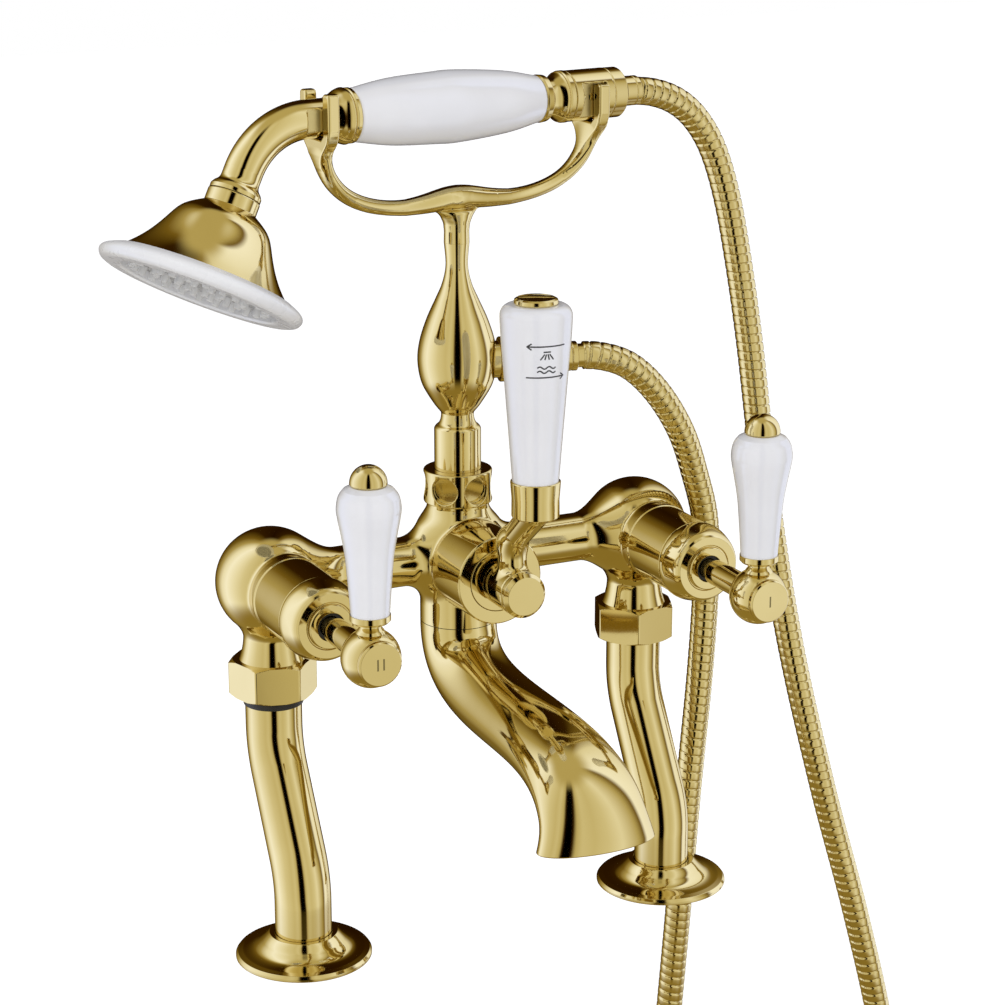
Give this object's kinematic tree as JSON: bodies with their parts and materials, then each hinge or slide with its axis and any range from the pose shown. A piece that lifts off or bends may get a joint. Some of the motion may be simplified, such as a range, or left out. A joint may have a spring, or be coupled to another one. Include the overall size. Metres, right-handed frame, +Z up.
{
  "type": "bath shower mixer",
  "caption": "Deck mounted bath and shower mixer in polished gold with white ceramic levers, a curved spout, a cradle, a handset and a ribbed hose.",
  "frame": {"origin": "on the deck, midway between the axes of the two feet", "axes": "+X to the cold side, +Y to the back, +Z up from the deck"},
  "size_m": [0.4039, 0.171, 0.7405],
  "materials": {
    "polished_brass": "mirror polished gold",
    "plain_brass": "turned",
    "white_ceramic": "white glaze",
    "white_plastic": "white gloss",
    "soft_nozzle": "pale silicone",
    "black_rubber": "matt black",
    "red_fibre": "fibre washer",
    "ribbed_brass": "polished gold ribs"
  },
  "bodies": {
    "mixer": {"body_casting": "polished_brass", "spout": "polished_brass", "spout_seal": "black_rubber", "hot_leg": "polished_brass", "cold_leg": "polished_brass", "hot_flange": "polished_brass", "cold_flange": "polished_brass", "hot_union_nut": "polished_brass", "cold_union_nut": "polished_brass", "hot_leg_seal": "black_rubber", "cold_leg_seal": "black_rubber", "hot_leg_washer": "red_fibre", "cold_leg_washer": "red_fibre", "hot_bonnet": "polished_brass", "cold_bonnet": "polished_brass", "hot_cartridge": "plain_brass", "cold_cartridge": "plain_brass", "hot_spindle_seal": "black_rubber", "cold_spindle_seal": "black_rubber", "diverter_bonnet": "polished_brass", "diverter_cartridge": "plain_brass", "locking_collar": "polished_brass", "riser": "polished_brass", "riser_washer": "black_rubber", "cradle_fork": "polished_brass", "outlet_nut": "polished_brass", "outlet_washer": "black_rubber", "outlet_ferrule": "polished_brass", "shower_hose": "ribbed_brass"},
    "hot_lever": {"hot_spindle": "plain_brass", "hot_hub": "polished_brass", "hot_index_cap": "polished_brass", "hot_handle": "white_ceramic", "hot_finial": "polished_brass"},
    "cold_lever": {"cold_spindle": "plain_brass", "cold_hub": "polished_brass", "cold_index_cap": "polished_brass", "cold_handle": "white_ceramic", "cold_finial": "polished_brass"},
    "diverter_lever": {"diverter_spindle": "plain_brass", "diverter_arm": "polished_brass", "diverter_cap": "polished_brass", "diverter_handle": "white_ceramic", "diverter_button": "polished_brass"},
    "handset": {"handset_neck": "polished_brass", "front_ferrule": "polished_brass", "handset_grip": "white_ceramic", "grip_rod": "plain_brass", "grip_end_ring": "polished_brass", "hose_socket": "polished_brass", "hose_ferrule": "polished_brass", "hose_washer": "black_rubber", "head_bell": "polished_brass", "head_washer": "black_rubber", "head_rim": "white_plastic", "spray_plate": "white_plastic", "spray_nozzles": "soft_nozzle"}
  },
  "joints": [
    {"name": "hot_turn", "type": "hinge", "parent": "mixer", "child": "hot_lever", "pos_m": [-0.09, -0.08, 0.164], "axis": [0, -1, 0], "range_deg": [0, 90]},
    {"name": "cold_turn", "type": "hinge", "parent": "mixer", "child": "cold_lever", "pos_m": [0.09, -0.08, 0.164], "axis": [0, 1, 0], "range_deg": [0, 90]},
    {"name": "diverter_turn", "type": "hinge", "parent": "mixer", "child": "diverter_lever", "pos_m": [0, -0.025, 0.164], "axis": [0, 1, 0], "range_deg": [-45, 45]},
    {"name": "handset_lift", "type": "slide", "parent": "mixer", "child": "handset", "axis": [0, 0, 1], "range_m": [0, 0.07], "deforming": ["shower_hose"]}
  ]
}
